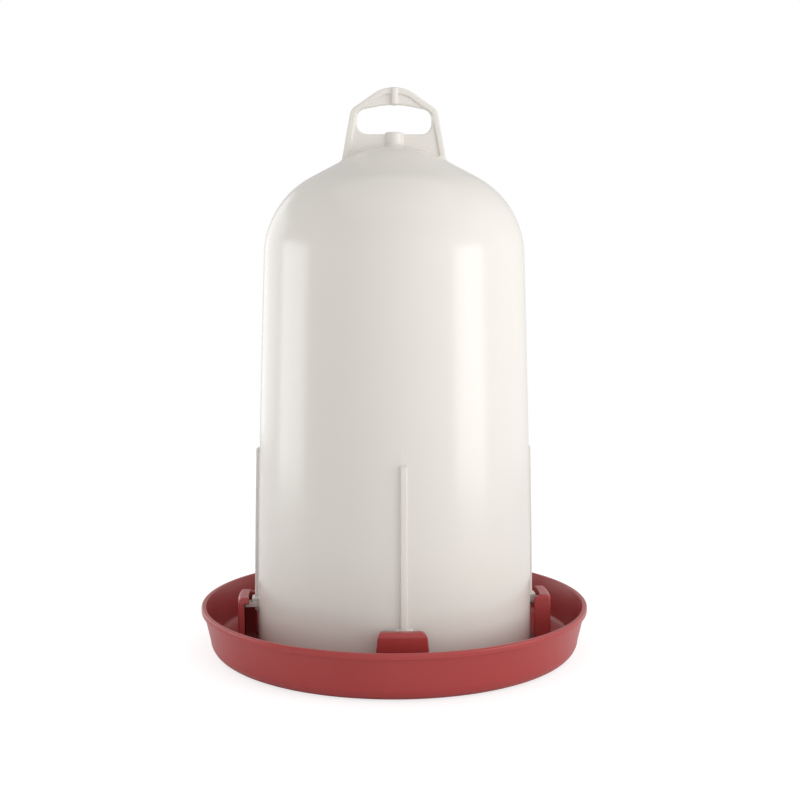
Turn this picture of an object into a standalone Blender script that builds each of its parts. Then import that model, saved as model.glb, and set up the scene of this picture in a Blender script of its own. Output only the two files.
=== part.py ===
"""Top-filled double-wall poultry drinker: a drinking pan with a water tank screwed to its middle, a
shut-off ring that turns round the foot of the tank, and a domed outer bell that is locked into the
pan by a bayonet and lifts off for filling.

Metres, +Z up. The origin is the centre of the pan's underside, and the front of the drinker is -Y.
At rest the bell is locked and the outlet of the tank is open.
"""

from math import asin, atan2, cos, degrees, pi, radians, sin, sqrt, tan

import bmesh
import bpy
from mathutils import Matrix, Vector

# Driving dimensions ------------------------------------------------------------------------------
RIM_RADIUS = 0.175
PAN_HEIGHT = 0.043
BELL_FOOT_RADIUS = 0.1242
BELL_WALL = 0.0028
SHOULDER_HEIGHT = 0.355
OVERALL_HEIGHT = 0.5033
TANK_MOUTH_HEIGHT = 0.348
QUARTERS = (0, 90, 180, 270)
DIAGONALS = (45, 135, 225, 315)

SEGMENTS = 60
GAP = 0.0003
SUNK = 0.0015
OVERRUN = 0.002
WELD = 0.000004

# Drinking pan
LIP_WIDTH = 0.0022
LIP_DEPTH = 0.005
LIP_CHAMFER = 0.0012
PAN_WALL = 0.003
FLOOR_UNDERSIDE = 0.0025
FLOOR_TOP = 0.0055
BEND_HEIGHT = 0.013
BEND_RADIUS = 0.167
FOOT_OUTER = 0.153
FOOT_INNER = 0.142
PLATEAU_TOP = 0.030
PLATEAU_RADIUS = 0.1172
PLATEAU_THICKNESS = 0.003
RECESS_DRAFT = 0.001
GROOVE_CLEARANCE = 0.0005
REST_RADIUS = 0.129
REST_HALF_WIDTH = 0.0015
REST_ANGLES = [22.5 + 45 * k for k in range(8)]

# Bayonet hooks of the pan and lugs of the bell
HOOK_OUTER = 0.1422
HOOK_DRAFT = 0.0006
HOOK_INNER = 0.1275
HOOK_TOP = 0.0504
HOOK_WALL_INNER = 0.137
HOOK_LIP_INNER = 0.1326
HOOK_LIP_UNDERSIDE = 0.0446
HOOK_CLOSED_END = (-11.3, -8.9)
HOOK_OPEN_END = (9.1, 7.4)
HOOK_END_WALL = 1.7
HOOK_OPEN_CORNER = 0.0055
HOOK_CLOSED_CORNER = 0.0035
HOOK_OUTER_CORNER = 0.004
SLOT_RUN_OUT = 4.0
LUG_BOTTOM = 0.0393
LUG_TOP = 0.0479
LUG_BLOCK_RADIUS = 0.1298
TAB_RADIUS = 0.1362
TAB_TOP = 0.0431
LUG_WIDTH = 0.0135
LUG_CHAMFER = 0.001

# Outer bell
BELL_FOOT = 0.0083
BELL_TAPER = 0.0083
BELL_TAPER_POWER = 1.6
SHOULDER_RADIUS = 0.079
CONE_SLOPE = 28.0
CAP_RADIUS = 0.085
RIB_BOTTOM = 0.036
RIB_TOP = 0.1846
RIB_WIDTH = 0.0055
RIB_HEIGHT = 0.0031
NOTCH_TOP = 0.020
NOTCH_WIDTH = 0.016
GUIDE_FACE = 0.1132
GUIDE_WIDTH = 0.004
GUIDE_BOTTOM = 0.032
GUIDE_TOP = 0.343

# Handle moulded on the bell
HANDLE_WEB = 0.0044
HANDLE_BEAD = 0.0074
BEAD_WIDTH = 0.0050
HANDLE_HALF_WIDTHS = (0.0503, 0.0381, 0.0100)
HANDLE_HEIGHTS = (0.427, 0.4837, OVERALL_HEIGHT)
HANDLE_CORNERS = (0.010, 0.031)
SHOULDER_INSET = 0.55
GRIP_HALF_WIDTH = 0.033
GRIP_HEIGHTS = (0.4629, 0.4835, 0.490)
GRIP_CORNERS = (0.009, 0.080)
BOSS_RADIUS = 0.0078
BOSS_TOP = 0.4645
CREST_WIDTH = 0.0056
CREST_DEPTH = 0.0120

# Inner tank
TANK_FLOOR = 0.033
TANK_FLOOR_THICKNESS = 0.0026
TANK_FOOT_RADIUS = 0.1075
TANK_MOUTH_RADIUS = 0.1098
TANK_FOOT_CHAMFER = 0.002
TANK_WALL = 0.0025
TANK_BEAD_RADIUS = 0.1112
TANK_BEAD_HEIGHT = 0.005
TANK_BOSS_RADIUS = 0.0056
TANK_BOSS_TOP = 0.047
OUTLET_HEIGHT = 0.043
OUTLET_RADIUS = 0.0045
CATCH_BOTTOM = 0.0546
CATCH_TOP = 0.0610
CATCH_RADIUS = 0.1102
CATCH_EDGE = 0.0015
CATCH_WIDTH = 0.012
CATCH_ANGLES = (22.5, 112.5, 202.5, 292.5)

# Shut-off ring, its rubber pad, and the fasteners of the tank
RING_BOTTOM = 0.0305
RING_TOP = 0.0540
RING_INNER = 0.1084
RING_THICKNESS = 0.0032
RING_OUTER = RING_INNER + RING_THICKNESS
RING_LUG_RADIUS = 0.1166
RING_LUG_TOP = 0.050
RING_LUG_SLOPE = 0.003
RING_LUG_WIDTH = 0.0055
RING_LUG_GAP = 0.0054
SHUT_ANGLE = -15.0
WINDOW_RADIUS = 0.0065
PAD_SIZE = 0.018
PAD_INNER = 0.1079
PAD_OUTER = 0.1108
PAD_HOUSING_SIZE = 0.024
PAD_HOUSING_SLOPE = 0.0015
PAD_HOUSING_OUTER = 0.1136
PAD_STEM_RADIUS = 0.0025
PAD_HEAD_RADIUS = 0.0042
PAD_HEAD_OUTER = 0.1154
GASKET_RADII = (0.097, 0.103)
GASKET_GROOVE_DEPTH = 0.0014
SCREW_CIRCLE = 0.070
SCREW_RADIUS = 0.002
SCREW_TIP = 0.0425
SCREW_HEAD_RADIUS = 0.0038
SCREW_HEAD_HEIGHT = 0.0026
WASHER_RADIUS = 0.0052
WASHER_THICKNESS = 0.001
SCREW_HOLE_RADIUS = 0.0024
SCREW_CROWN = (0.0023, 0.0002, 0.0011)
SCREW_SLOT = (0.0056, 0.0012, 0.0011)


# Outlines ----------------------------------------------------------------------------------------
def arc(centre, radius, start, end, steps):
    """Points along an arc of a circle in an outline's plane, from one angle to another, in degrees."""
    turns = [radians(start + (end - start) * k / steps) for k in range(steps + 1)]
    return [(centre[0] + radius * cos(t), centre[1] + radius * sin(t)) for t in turns]


def rounded(corners, steps=5):
    """An outline of (x, y, radius) corners, with each corner of radius above 0 made an arc."""
    outline = []
    for k, (x, y, radius) in enumerate(corners):
        if radius == 0:
            outline.append((x, y))
            continue
        here = Vector((x, y))
        back = (Vector(corners[k - 1][:2]) - here).normalized()
        ahead = (Vector(corners[(k + 1) % len(corners)][:2]) - here).normalized()
        half = back.angle(ahead) / 2
        centre = here + (back + ahead).normalized() * radius / sin(half)
        first = here + back * radius / tan(half) - centre
        last = here + ahead * radius / tan(half) - centre
        start = atan2(first.y, first.x)
        turn = (atan2(last.y, last.x) - start + pi) % (2 * pi) - pi
        outline += arc(centre, radius, degrees(start), degrees(start + turn), steps)
    return outline


def bell_radius(height):
    """Outer radius of the bell's wall below its shoulder."""
    return BELL_FOOT_RADIUS - BELL_TAPER * (height / SHOULDER_HEIGHT) ** BELL_TAPER_POWER


def dome(inset, steps):
    """The bell's dome from shoulder to top, inset from its outer face: an arc, a cone and a cap."""
    shoulder = (bell_radius(SHOULDER_HEIGHT) - SHOULDER_RADIUS, SHOULDER_HEIGHT)
    side = arc(shoulder, SHOULDER_RADIUS - inset, 0, 90 - CONE_SLOPE, steps)
    slope = radians(CONE_SLOPE)
    cap_edge = CAP_RADIUS * sin(slope)
    cone_end = arc(shoulder, SHOULDER_RADIUS, 90 - CONE_SLOPE, 90 - CONE_SLOPE, 1)[0]
    cap_centre = (0.0, cone_end[1] + (cone_end[0] - cap_edge) * tan(slope) - CAP_RADIUS * cos(slope))
    cap = arc(cap_centre, CAP_RADIUS - inset, 90 - CONE_SLOPE, 90, steps // 2)
    return side + cap[:-1] + [(0.0, cap[-1][1])]


# Solids ------------------------------------------------------------------------------------------
def mesh_object(name, bm):
    """An object of this mesh, with its faces pointing out."""
    bmesh.ops.recalc_face_normals(bm, faces=bm.faces)
    mesh = bpy.data.meshes.new(name)
    bm.to_mesh(mesh)
    bm.free()
    obj = bpy.data.objects.new(name, mesh)
    bpy.context.scene.collection.objects.link(obj)
    return obj


def turned(name, outline, steps=SEGMENTS):
    """A solid turned about Z from (radius, height) points. It is closed by the axis where it meets it."""
    bm = bmesh.new()
    verts = [bm.verts.new((radius, 0, height)) for radius, height in outline]
    edges = [bm.edges.new(pair) for pair in zip(verts, verts[1:])]
    if min(radius for radius, _ in outline) > 0:
        edges.append(bm.edges.new((verts[-1], verts[0])))
    bmesh.ops.spin(
        bm, geom=verts + edges, cent=(0, 0, 0), axis=(0, 0, 1), angle=2 * pi, steps=steps, use_merge=True
    )
    bmesh.ops.remove_doubles(bm, verts=bm.verts, dist=1e-6)
    return mesh_object(name, bm)


def bent(name, section, ends, steps):
    """A (radius, height) section carried round Z. ends(height) gives its two end angles in degrees."""
    bm = bmesh.new()
    rows = []
    for k in range(steps + 1):
        row = []
        for radius, height in section:
            start, end = ends(height)
            turn = radians(start + (end - start) * k / steps)
            row.append(bm.verts.new((radius * cos(turn), radius * sin(turn), height)))
        rows.append(row)
    for row, following in zip(rows, rows[1:]):
        for k in range(len(section)):
            bm.faces.new((row[k - 1], row[k], following[k], following[k - 1]))
    bm.faces.new(rows[0])
    bm.faces.new(rows[-1])
    bmesh.ops.triangulate(bm, faces=bm.faces)
    return mesh_object(name, bm)


def slab(name, outline, thickness):
    """An outline in the XZ plane, given thickness on both sides of it."""
    bm = bmesh.new()
    face = bm.faces.new([bm.verts.new((x, -thickness / 2, z)) for x, z in outline])
    pushed = bmesh.ops.extrude_face_region(bm, geom=[face])["geom"]
    moved = [item for item in pushed if isinstance(item, bmesh.types.BMVert)]
    bmesh.ops.translate(bm, verts=moved, vec=(0, thickness, 0))
    return mesh_object(name, bm)


def rod(name, radius, start, end, steps=24):
    """A round bar between two points."""
    axis = Vector(end) - Vector(start)
    middle = Matrix.Translation((Vector(start) + Vector(end)) / 2)
    place = middle @ axis.to_track_quat("Z", "Y").to_matrix().to_4x4()
    bm = bmesh.new()
    bmesh.ops.create_cone(
        bm, cap_ends=True, segments=steps, radius1=radius, radius2=radius, depth=axis.length, matrix=place
    )
    return mesh_object(name, bm)


def block(name, low, high):
    """A box between two corners."""
    middle = (Vector(low) + Vector(high)) / 2
    size = Vector(high) - Vector(low)
    bm = bmesh.new()
    bmesh.ops.create_cube(bm, size=1, matrix=Matrix.Translation(middle) @ Matrix.Diagonal((*size, 1)))
    return mesh_object(name, bm)


def placed(tool, angle, name):
    """A copy of a tool, turned about Z."""
    copy = bpy.data.objects.new(name, tool.data)
    copy.rotation_euler.z = radians(angle)
    bpy.context.scene.collection.objects.link(copy)
    return copy


def combine(obj, operation, tools):
    """Works tools into an object one after another, and removes them."""
    for tool in tools:
        change = obj.modifiers.new(tool.name, "BOOLEAN")
        change.operation = operation
        change.solver = "EXACT"
        change.object = tool
    graph = bpy.context.evaluated_depsgraph_get()
    bm = bmesh.new()
    bm.from_object(obj, graph)
    bmesh.ops.remove_doubles(bm, verts=bm.verts, dist=WELD)
    bmesh.ops.dissolve_degenerate(bm, edges=bm.edges, dist=WELD)
    obj.modifiers.clear()
    obj.data = obj.data.copy()
    bm.to_mesh(obj.data)
    bm.free()
    for tool in tools:
        bpy.data.objects.remove(tool)
    return obj


def repeated(obj, operation, tool, angles):
    """Works copies of one tool into an object at several angles."""
    copies = [placed(tool, angle, f"{tool.name}_{angle:g}") for angle in angles]
    combine(obj, operation, copies)
    bpy.data.objects.remove(tool)
    return obj


def straight(half_width, radius):
    """End angles for a bent piece of constant half width at a radius."""
    turn = degrees(asin(half_width / radius))
    return lambda height: (-turn, turn)


def finish(obj, colour, roughness, metallic=0.0):
    """Gives a piece its own material and shading."""
    material = bpy.data.materials.new(obj.name)
    material.use_nodes = True
    shader = material.node_tree.nodes["Principled BSDF"]
    shader.inputs["Base Color"].default_value = (*colour, 1)
    shader.inputs["Roughness"].default_value = roughness
    shader.inputs["Metallic"].default_value = metallic
    obj.data.materials.clear()
    obj.data.materials.append(material)
    obj.data.shade_smooth()
    obj.data.set_sharp_from_angle(angle=radians(32))


# Drinking pan ------------------------------------------------------------------------------------
def quarter_bend(radius, floor, steps):
    """The bend between the pan's floor and its wall, from the floor outwards."""
    turns = [pi / 2 * k / steps for k in range(steps + 1)]
    reach = radius - FOOT_OUTER
    rise = BEND_HEIGHT - floor
    return [(FOOT_OUTER + reach * sin(turn), BEND_HEIGHT - rise * cos(turn)) for turn in turns]


def pan_body():
    """The pan without hooks: lipped wall, trough, plateau for the tank, and foot ring."""
    lip_bottom = PAN_HEIGHT - LIP_DEPTH
    wall_top = RIM_RADIUS - LIP_WIDTH
    slope = (wall_top - BEND_RADIUS) / (lip_bottom - BEND_HEIGHT)
    inner_top = wall_top + slope * LIP_DEPTH - PAN_WALL
    inner_bend = BEND_RADIUS - PAN_WALL
    bend = quarter_bend(BEND_RADIUS, 0.0, 4)
    trough_bend = quarter_bend(inner_bend, FLOOR_TOP, 3)
    recess = PLATEAU_RADIUS - PLATEAU_THICKNESS
    recess_top = PLATEAU_TOP - PLATEAU_THICKNESS
    groove = PLATEAU_TOP - GASKET_GROOVE_DEPTH
    groove_inner = GASKET_RADII[0] - GROOVE_CLEARANCE
    groove_outer = GASKET_RADII[1] + GROOVE_CLEARANCE
    outline = [(0.0, PLATEAU_TOP), (groove_inner, PLATEAU_TOP), (groove_inner, groove)]
    outline += [(groove_outer, groove), (groove_outer, PLATEAU_TOP), (PLATEAU_RADIUS, PLATEAU_TOP)]
    outline += [(PLATEAU_RADIUS, FLOOR_TOP)]
    outline += trough_bend
    outline += [(inner_top, PAN_HEIGHT), (RIM_RADIUS - LIP_CHAMFER, PAN_HEIGHT)]
    outline += [(RIM_RADIUS, PAN_HEIGHT - LIP_CHAMFER), (RIM_RADIUS, lip_bottom), (wall_top, lip_bottom)]
    outline += reversed(bend)
    outline += [(FOOT_INNER, 0.0), (FOOT_INNER - FLOOR_UNDERSIDE, FLOOR_UNDERSIDE), (recess, FLOOR_UNDERSIDE)]
    outline += [(recess - RECESS_DRAFT, recess_top), (0.0, recess_top)]
    return turned("drinking_pan", outline)


def hook():
    """One bayonet hook at +X: a bent wall with a top lip, closed at its clockwise end."""
    base = FLOOR_TOP - SUNK
    edge = HOOK_TOP - HOOK_OUTER_CORNER
    corner = arc((HOOK_OUTER - HOOK_OUTER_CORNER, edge), HOOK_OUTER_CORNER, 0, 90, 4)
    inner_rows = [HOOK_TOP - HOOK_OPEN_CORNER * (1 - cos(radians(t))) for t in (0, 30, 50, 70, 90)]
    section = [(HOOK_OUTER + HOOK_DRAFT, base)] + corner + [(HOOK_INNER, z) for z in inner_rows]
    section += [(HOOK_INNER, base)]

    def drafted(ends, height):
        return ends[0] + (ends[1] - ends[0]) * (height - base) / (HOOK_TOP - base)

    def pulled_in(corner_radius, height):
        over = min(max(0.0, height - (HOOK_TOP - corner_radius)), corner_radius)
        return degrees((corner_radius - sqrt(corner_radius**2 - over**2)) / HOOK_OUTER)

    def ends(height):
        start = drafted(HOOK_CLOSED_END, height) + pulled_in(HOOK_CLOSED_CORNER, height)
        end = drafted(HOOK_OPEN_END, height) - pulled_in(HOOK_OPEN_CORNER, height)
        return start, end

    body = bent("hook", section, ends, 8)
    slot_start = HOOK_CLOSED_END[1] + HOOK_END_WALL
    slot_end = HOOK_OPEN_END[0] + SLOT_RUN_OUT
    inside = HOOK_INNER - OVERRUN
    below = [(inside, base - OVERRUN), (HOOK_WALL_INNER, base - OVERRUN)]
    below += [(HOOK_WALL_INNER, HOOK_LIP_UNDERSIDE), (inside, HOOK_LIP_UNDERSIDE)]
    lip_low = HOOK_LIP_UNDERSIDE - OVERRUN
    lip_high = HOOK_TOP + OVERRUN
    beside = [(inside + GAP, lip_low), (HOOK_LIP_INNER, lip_low)]
    beside += [(HOOK_LIP_INNER, lip_high), (inside + GAP, lip_high)]
    slot = bent("slot", below, lambda height: (slot_start, slot_end), 8)
    opening = bent("opening", beside, lambda height: (slot_start + 0.4, slot_end + 0.4), 8)
    return combine(body, "DIFFERENCE", [slot, opening])


def drinking_pan():
    pan = pan_body()
    repeated(pan, "UNION", hook(), QUARTERS)
    inner = PLATEAU_RADIUS - SUNK
    rest = [(inner, FLOOR_TOP - SUNK), (REST_RADIUS, FLOOR_TOP - SUNK)]
    rest += [(REST_RADIUS, BELL_FOOT - GAP), (inner, BELL_FOOT - GAP)]
    rests = bent("bell_rest", rest, straight(REST_HALF_WIDTH, PLATEAU_RADIUS), 1)
    repeated(pan, "UNION", rests, REST_ANGLES)
    low = (SCREW_CIRCLE, 0, PLATEAU_TOP - PLATEAU_THICKNESS - OVERRUN)
    hole = rod("hole", SCREW_HOLE_RADIUS, low, (SCREW_CIRCLE, 0, PLATEAU_TOP + OVERRUN), 16)
    repeated(pan, "DIFFERENCE", hole, DIAGONALS)
    finish(pan, (0.45, 0.035, 0.03), 0.35)


# Outer bell --------------------------------------------------------------------------------------
def handle_outline(inset, low):
    """The handle's side view, inset from its edge, from a height up."""
    outer, shoulder, top = HANDLE_HALF_WIDTHS
    shoulder_z = HANDLE_HEIGHTS[1] - inset * SHOULDER_INSET
    top_z = HANDLE_HEIGHTS[2] - inset
    shoulder_corner, top_corner = HANDLE_CORNERS
    side = [(outer - inset, low, 0), (shoulder - inset, shoulder_z, shoulder_corner)]
    side += [(top, top_z, top_corner)]
    return rounded(side + [(-x, z, radius) for x, z, radius in reversed(side)])


def handle():
    """The handle's plate with its thick border, middle boss and crest rib. The grip hole is cut later."""
    low = HANDLE_HEIGHTS[0]
    border = slab("border", handle_outline(0.0, low), HANDLE_BEAD)
    inside = slab("border_inside", handle_outline(BEAD_WIDTH, low - 0.01), HANDLE_BEAD * 2)
    combine(border, "DIFFERENCE", [inside])
    web = slab("web", handle_outline(OVERRUN, low + OVERRUN / 2), HANDLE_WEB)
    boss = rod("boss", BOSS_RADIUS, (0, 0, low), (0, 0, BOSS_TOP))
    half = CREST_WIDTH / 2
    depth = CREST_DEPTH / 2
    crest = block("crest", (-half, -depth, GRIP_HEIGHTS[1]), (half, depth, OVERALL_HEIGHT - 0.0004))
    return combine(web, "UNION", [border, boss, crest])


def grip_hole():
    """The cutter of the handle's grip hole."""
    low, side, top = GRIP_HEIGHTS
    end, crown = GRIP_CORNERS
    half = GRIP_HALF_WIDTH
    corners = [(half, low, end), (half, side, end), (0, top, crown), (-half, side, end), (-half, low, end)]
    return slab("grip_hole", rounded(corners), 0.04)


def outer_bell():
    wall_rows = (0.0, 0.08, 0.16, 0.22, 0.28)
    wall = [(bell_radius(z) if z else BELL_FOOT_RADIUS, max(z, BELL_FOOT)) for z in wall_rows]
    bell = turned("outer_bell", [(0.0, BELL_FOOT)] + wall + dome(0.0, 7))

    combine(bell, "UNION", [handle()])
    rib_rows = (RIB_BOTTOM, 0.09, 0.14, RIB_TOP)
    rib = [(bell_radius(z) - SUNK, z) for z in (RIB_TOP, RIB_BOTTOM)]
    rib += [(bell_radius(z) + RIB_HEIGHT, z) for z in rib_rows]
    repeated(bell, "UNION", bent("rib", rib, straight(RIB_WIDTH / 2, BELL_FOOT_RADIUS), 1), QUARTERS)
    inside = BELL_FOOT_RADIUS - SUNK
    lug = [(inside, LUG_BOTTOM), (TAB_RADIUS, LUG_BOTTOM), (TAB_RADIUS, TAB_TOP), (LUG_BLOCK_RADIUS, TAB_TOP)]
    lug += [(LUG_BLOCK_RADIUS, LUG_TOP - LUG_CHAMFER), (LUG_BLOCK_RADIUS - LUG_CHAMFER, LUG_TOP)]
    lug += [(inside, LUG_TOP)]
    repeated(bell, "UNION", bent("lug", lug, straight(LUG_WIDTH / 2, LUG_BLOCK_RADIUS), 2), QUARTERS)

    inner_rows = (-0.02, 0.16, 0.26)
    cavity = [(bell_radius(max(z, 0)) - BELL_WALL, z) for z in inner_rows]
    cavity_tool = turned("cavity", [(0.0, inner_rows[0])] + cavity + dome(BELL_WALL, 5))
    combine(bell, "DIFFERENCE", [cavity_tool, grip_hole()])

    guide_rows = (GUIDE_TOP, 0.24, 0.12, GUIDE_BOTTOM)
    guide = [(GUIDE_FACE, GUIDE_BOTTOM), (GUIDE_FACE, GUIDE_TOP)]
    guide += [(bell_radius(z) - BELL_WALL / 2, z) for z in guide_rows]
    repeated(bell, "UNION", bent("guide", guide, straight(GUIDE_WIDTH / 2, GUIDE_FACE), 1), DIAGONALS)
    through = BELL_WALL * 2
    notch = [(BELL_FOOT_RADIUS - through, 0.0), (BELL_FOOT_RADIUS + through, 0.0)]
    notch += [(BELL_FOOT_RADIUS + through, NOTCH_TOP), (BELL_FOOT_RADIUS - through, NOTCH_TOP)]
    notch_tool = bent("notch", notch, straight(NOTCH_WIDTH / 2, BELL_FOOT_RADIUS), 2)
    repeated(bell, "DIFFERENCE", notch_tool, DIAGONALS)
    finish(bell, (0.83, 0.80, 0.76), 0.3)


# Inner tank --------------------------------------------------------------------------------------
def inner_tank():
    floor_top = TANK_FLOOR + TANK_FLOOR_THICKNESS
    inner_foot = TANK_FOOT_RADIUS - TANK_WALL
    bead_bottom = TANK_MOUTH_HEIGHT - TANK_BEAD_HEIGHT
    outline = [(0.0, TANK_FLOOR), (TANK_FOOT_RADIUS - TANK_FOOT_CHAMFER, TANK_FLOOR)]
    outline += [(TANK_FOOT_RADIUS, TANK_FLOOR + TANK_FOOT_CHAMFER), (TANK_FOOT_RADIUS, RING_TOP)]
    outline += [(TANK_MOUTH_RADIUS, bead_bottom), (TANK_BEAD_RADIUS, bead_bottom)]
    outline += [(TANK_BEAD_RADIUS, TANK_MOUTH_HEIGHT), (TANK_MOUTH_RADIUS - TANK_WALL, TANK_MOUTH_HEIGHT)]
    outline += [(inner_foot, floor_top + TANK_FOOT_CHAMFER), (inner_foot - TANK_FOOT_CHAMFER, floor_top)]
    outline += [(0.0, floor_top)]
    tank = turned("inner_tank", outline)

    boss_low = (SCREW_CIRCLE, 0, PLATEAU_TOP + GAP)
    boss = rod("boss", TANK_BOSS_RADIUS, boss_low, (SCREW_CIRCLE, 0, TANK_BOSS_TOP))
    repeated(tank, "UNION", boss, DIAGONALS)
    catch_root = TANK_FOOT_RADIUS - SUNK
    catch = [(catch_root, CATCH_BOTTOM), (CATCH_RADIUS, CATCH_BOTTOM)]
    catch += [(CATCH_RADIUS, CATCH_BOTTOM + CATCH_EDGE), (catch_root, CATCH_TOP)]
    catch_tool = bent("catch", catch, straight(CATCH_WIDTH / 2, TANK_FOOT_RADIUS), 2)
    repeated(tank, "UNION", catch_tool, CATCH_ANGLES)

    hole_low = (SCREW_CIRCLE, 0, PLATEAU_TOP - OVERRUN)
    hole_high = (SCREW_CIRCLE, 0, SCREW_TIP + GAP * 2)
    hole = rod("hole", SCREW_RADIUS + GAP, hole_low, hole_high, 16)
    repeated(tank, "DIFFERENCE", hole, DIAGONALS)
    outlet_start = (inner_foot - OVERRUN, 0, OUTLET_HEIGHT)
    outlet = rod("outlet", OUTLET_RADIUS, outlet_start, (TANK_FOOT_RADIUS + OVERRUN, 0, OUTLET_HEIGHT))
    combine(tank, "DIFFERENCE", [outlet])
    finish(tank, (0.80, 0.80, 0.78), 0.4)


# Shut-off ring -----------------------------------------------------------------------------------
def valve_ring():
    outline = [(RING_INNER, RING_BOTTOM), (RING_OUTER, RING_BOTTOM)]
    outline += [(RING_OUTER, RING_TOP), (RING_INNER, RING_TOP)]
    ring = turned("valve_ring", outline)
    root = RING_OUTER - RING_THICKNESS / 3
    lug = [(root, RING_BOTTOM), (RING_LUG_RADIUS, RING_BOTTOM)]
    lug += [(RING_LUG_RADIUS, RING_LUG_TOP - RING_LUG_SLOPE), (root, RING_LUG_TOP)]
    turn = degrees(RING_LUG_GAP / 2 / RING_OUTER)
    width = degrees(RING_LUG_WIDTH / RING_OUTER)
    for side in (-1, 1):
        ends = (side * turn, side * (turn + width))
        lug_tool = bent("drive_lug", lug, lambda height, ends=ends: ends, 1)
        repeated(ring, "UNION", lug_tool, DIAGONALS)

    half = PAD_HOUSING_SIZE / 2
    low = OUTLET_HEIGHT - half
    high = OUTLET_HEIGHT + half - PAD_HOUSING_SLOPE
    housing = [(root, low), (PAD_HOUSING_OUTER, low + PAD_HOUSING_SLOPE)]
    housing += [(PAD_HOUSING_OUTER, high - PAD_HOUSING_SLOPE), (root, high)]
    housing_tool = bent("housing", housing, straight(half, RING_OUTER), 4)
    repeated(ring, "UNION", housing_tool, [SHUT_ANGLE])
    pocket_half = PAD_SIZE / 2 + GAP
    inside = RING_INNER - OVERRUN
    pocket = [(inside, OUTLET_HEIGHT - pocket_half), (PAD_OUTER + GAP, OUTLET_HEIGHT - pocket_half)]
    pocket += [(PAD_OUTER + GAP, OUTLET_HEIGHT + pocket_half), (inside, OUTLET_HEIGHT + pocket_half)]
    pocket_tool = bent("pocket", pocket, straight(pocket_half, RING_INNER), 4)
    repeated(ring, "DIFFERENCE", pocket_tool, [SHUT_ANGLE])
    start = (inside, 0, OUTLET_HEIGHT)
    end = (RING_LUG_RADIUS + OVERRUN, 0, OUTLET_HEIGHT)
    stem_hole = rod("stem_hole", PAD_STEM_RADIUS + GAP, start, end, 16)
    repeated(ring, "DIFFERENCE", stem_hole, [SHUT_ANGLE])
    combine(ring, "DIFFERENCE", [rod("window", WINDOW_RADIUS, start, end)])
    finish(ring, (0.45, 0.035, 0.03), 0.4)


def valve_pad():
    """The rubber pad that shuts the outlet, with the stem and head that hold it in the ring."""
    half = PAD_SIZE / 2
    section = [(PAD_INNER, OUTLET_HEIGHT - half), (PAD_OUTER, OUTLET_HEIGHT - half)]
    section += [(PAD_OUTER, OUTLET_HEIGHT + half), (PAD_INNER, OUTLET_HEIGHT + half)]
    pad = bent("valve_pad", section, straight(half - GAP, PAD_INNER), 4)
    stem_start = (PAD_OUTER - SUNK, 0, OUTLET_HEIGHT)
    head_start = (PAD_HOUSING_OUTER + GAP, 0, OUTLET_HEIGHT)
    head_end = (PAD_HEAD_OUTER, 0, OUTLET_HEIGHT)
    stem = rod("stem", PAD_STEM_RADIUS, stem_start, (PAD_HEAD_OUTER - GAP, 0, OUTLET_HEIGHT), 16)
    head = rod("head", PAD_HEAD_RADIUS, head_start, head_end, 16)
    combine(pad, "UNION", [stem, head])
    pad.rotation_euler.z = radians(SHUT_ANGLE)
    finish(pad, (0.03, 0.03, 0.032), 0.7)


# Gasket and fasteners ----------------------------------------------------------------------------
def tank_gasket():
    low = PLATEAU_TOP - GASKET_GROOVE_DEPTH + GAP
    high = TANK_FLOOR - GAP
    inner, outer = GASKET_RADII
    gasket = turned("tank_gasket", [(inner, low), (outer, low), (outer, high), (inner, high)])
    finish(gasket, (0.03, 0.03, 0.032), 0.7)


def fastener_meshes():
    """The meshes that all screws and all washers share, each standing on the Z axis."""
    washer_top = PLATEAU_TOP - PLATEAU_THICKNESS - GAP
    washer_low = washer_top - WASHER_THICKNESS
    hole = SCREW_RADIUS + GAP
    outline = [(hole, washer_low), (WASHER_RADIUS, washer_low)]
    outline += [(WASHER_RADIUS, washer_top), (hole, washer_top)]
    washer = turned("washer", outline, 16)
    bearing = washer_low - GAP
    head_low = bearing - SCREW_HEAD_HEIGHT
    crown_radius, crown_drop, edge_drop = SCREW_CROWN
    outline = [(0.0, head_low), (crown_radius, head_low + crown_drop)]
    outline += [(SCREW_HEAD_RADIUS, head_low + edge_drop), (SCREW_HEAD_RADIUS, bearing)]
    outline += [(SCREW_RADIUS, bearing), (SCREW_RADIUS, SCREW_TIP - SCREW_RADIUS / 2)]
    outline += [(SCREW_RADIUS / 2, SCREW_TIP), (0.0, SCREW_TIP)]
    screw = turned("screw", outline, 16)
    half = SCREW_SLOT[0] / 2
    across = SCREW_SLOT[1] / 2
    deep = head_low + SCREW_SLOT[2]
    slot = block("slot", (-half, -across, head_low - OVERRUN), (half, across, deep))
    cross = block("cross", (-across, -half, head_low - OVERRUN), (across, half, deep))
    combine(screw, "DIFFERENCE", [slot, cross])
    return screw, washer


def fasteners():
    screw, washer = fastener_meshes()
    for number, angle in enumerate(DIAGONALS, 1):
        for source, name, roughness in ((screw, "tank_screw", 0.3), (washer, "tank_washer", 0.35)):
            piece = bpy.data.objects.new(f"{name}_{number}", source.data.copy())
            piece.location = (SCREW_CIRCLE * cos(radians(angle)), SCREW_CIRCLE * sin(radians(angle)), 0)
            piece.rotation_euler.z = radians(angle)
            bpy.context.scene.collection.objects.link(piece)
            finish(piece, (0.62, 0.62, 0.60), roughness, 1.0)
    bpy.data.objects.remove(screw)
    bpy.data.objects.remove(washer)


for old in list(bpy.data.objects):
    bpy.data.objects.remove(old)
drinking_pan()
inner_tank()
outer_bell()
valve_ring()
valve_pad()
tank_gasket()
fasteners()
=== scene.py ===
"""Looks of a top-filled double-wall poultry drinker: glossy white bell over a red drinking pan.

Metres, +Z up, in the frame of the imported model. Dimensions repeat those of the part.
"""

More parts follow.
